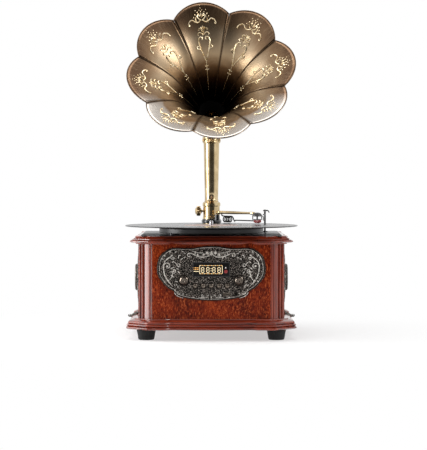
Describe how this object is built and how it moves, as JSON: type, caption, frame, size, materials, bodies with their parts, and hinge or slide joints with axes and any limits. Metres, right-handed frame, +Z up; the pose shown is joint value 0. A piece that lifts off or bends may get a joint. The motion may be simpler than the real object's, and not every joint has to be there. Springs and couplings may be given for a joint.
{
  "type": "record player",
  "caption": "Turntable with a flower horn on a turning stem, in a moulded wooden cabinet with reeded corners, a cast front plate, display, knobs and a tonearm.",
  "frame": {"origin": "on the floor, under the middle of the whole object's box", "axes": "+Z up, +Y towards the back, +X to the right as seen from the front"},
  "size_m": [0.3016, 0.3618, 0.5928],
  "materials": {
    "rubber": "matt",
    "steel": "brushed",
    "moulding": "high gloss lacquer",
    "veneer": "gloss lacquer",
    "deck": "gloss",
    "antique_brass": "antique",
    "window": "clear gloss",
    "module": "matt",
    "brass": "polished",
    "button": "antique",
    "board": "satin",
    "cloth": "woven",
    "speaker": "satin",
    "black_plastic": "satin",
    "bronze": "sintered",
    "vinyl": "grooved gloss",
    "black_enamel": "gloss",
    "horn": "antique, embossed",
    "grey_plastic": "gloss",
    "red_plastic": "gloss"
  },
  "bodies": {
    "cabinet": {"foot_front_left": "rubber", "foot_front_right": "rubber", "foot_back_left": "rubber", "foot_back_right": "rubber", "foot_screws": "steel", "plinth": "moulding", "front_panel": "veneer", "back_panel": "veneer", "left_panel": "veneer", "right_panel": "veneer", "corner_posts": "moulding", "top_board": "moulding", "deck_plate": "deck", "faceplate": "antique_brass", "display_window": "window", "display_module": "module", "encoders": "steel", "usb_socket": "steel", "aux_socket": "steel", "control_board": "board", "left_grille": "antique_brass", "right_grille": "antique_brass", "side_leaves": "antique_brass", "left_grille_cloth": "cloth", "right_grille_cloth": "cloth", "left_speaker": "speaker", "right_speaker": "speaker", "rear_plate": "black_plastic", "rear_sockets": "brass", "bearing_bush": "bronze", "drive_belt": "rubber", "motor": "steel", "stem_base": "black_enamel", "horn_socket": "brass", "arm_bracket": "black_enamel", "arm_rest": "black_enamel"},
    "platter": {"platter": "black_plastic", "platter_mat": "rubber", "record": "vinyl", "spindle": "steel"},
    "pulley": {"motor_pulley": "brass"},
    "horn": {"horn_stem": "brass", "stem_crown": "brass", "horn_neck": "horn", "horn_petals": "horn"},
    "clamp_screw": {"thumbscrew": "brass"},
    "arm_base": {"arm_yoke": "brass"},
    "arm": {"tonearm": "brass", "headshell": "grey_plastic", "cartridge": "red_plastic", "arm_lead": "rubber"},
    "clip": {"rest_clip": "black_enamel"},
    "volume": {"volume_knob": "brass"},
    "tuning": {"tuning_knob": "brass"},
    "rocker": {"power_switch": "black_plastic"},
    "key_1": {"button_1": "button"},
    "key_2": {"button_2": "button"},
    "key_3": {"button_3": "button"},
    "key_4": {"button_4": "button"},
    "key_5": {"button_5": "button"}
  },
  "joints": [
    {"name": "platter_spin", "type": "hinge", "parent": "cabinet", "child": "platter", "pos_m": [0, -0.0301, 0.185], "axis": [0, 0, 1], "continuous": true},
    {"name": "pulley_spin", "type": "hinge", "parent": "cabinet", "child": "pulley", "pos_m": [-0.06954, -0.05541, 0.18], "axis": [0, 0, 1], "continuous": true},
    {"name": "horn_swivel", "type": "hinge", "parent": "cabinet", "child": "horn", "pos_m": [0, 0.1419, 0.23], "axis": [0, 0, 1], "range_deg": [-90, 90]},
    {"name": "clamp_screw_turn", "type": "hinge", "parent": "cabinet", "child": "clamp_screw", "pos_m": [-0.018, 0.1419, 0.2138], "axis": [-1, 0, 0], "range_deg": [0, 90]},
    {"name": "tonearm_swing", "type": "hinge", "parent": "cabinet", "child": "arm_base", "pos_m": [0.0105, 0.1169, 0.204], "axis": [0, 0, 1], "range_deg": [-21, 32]},
    {"name": "tonearm_lift", "type": "hinge", "parent": "arm_base", "child": "arm", "pos_m": [0.0105, 0.1169, 0.212], "axis": [-0.7727, -0.6347, 0], "range_deg": [0, 18]},
    {"name": "rest_clip_turn", "type": "hinge", "parent": "cabinet", "child": "clip", "pos_m": [0.09704, 0.09252, 0.215], "axis": [0, 0, 1], "range_deg": [0, 90]},
    {"name": "volume_turn", "type": "hinge", "parent": "cabinet", "child": "volume", "pos_m": [-0.047, -0.1311, 0.102], "axis": [0, -1, 0], "range_deg": [-150, 150]},
    {"name": "tuning_turn", "type": "hinge", "parent": "cabinet", "child": "tuning", "pos_m": [0.047, -0.1311, 0.102], "axis": [0, -1, 0], "continuous": true},
    {"name": "power_rocker", "type": "hinge", "parent": "cabinet", "child": "rocker", "pos_m": [0.024, 0.1599, 0.08], "axis": [1, 0, 0], "range_deg": [-18, 0]},
    {"name": "button_1_press", "type": "slide", "parent": "cabinet", "child": "key_1", "axis": [0, 1, 0], "range_m": [0, 0.0015], "stiffness_N_per_m": 350, "springref_m": -0.001},
    {"name": "button_2_press", "type": "slide", "parent": "cabinet", "child": "key_2", "axis": [0, 1, 0], "range_m": [0, 0.0015], "stiffness_N_per_m": 350, "springref_m": -0.001},
    {"name": "button_3_press", "type": "slide", "parent": "cabinet", "child": "key_3", "axis": [0, 1, 0], "range_m": [0, 0.0015], "stiffness_N_per_m": 350, "springref_m": -0.001},
    {"name": "button_4_press", "type": "slide", "parent": "cabinet", "child": "key_4", "axis": [0, 1, 0], "range_m": [0, 0.0015], "stiffness_N_per_m": 350, "springref_m": -0.001},
    {"name": "button_5_press", "type": "slide", "parent": "cabinet", "child": "key_5", "axis": [0, 1, 0], "range_m": [0, 0.0015], "stiffness_N_per_m": 350, "springref_m": -0.001}
  ],
  "couplings": [
    {"joint": "pulley_spin", "follows": "platter_spin", "ratio": 10}
  ]
}
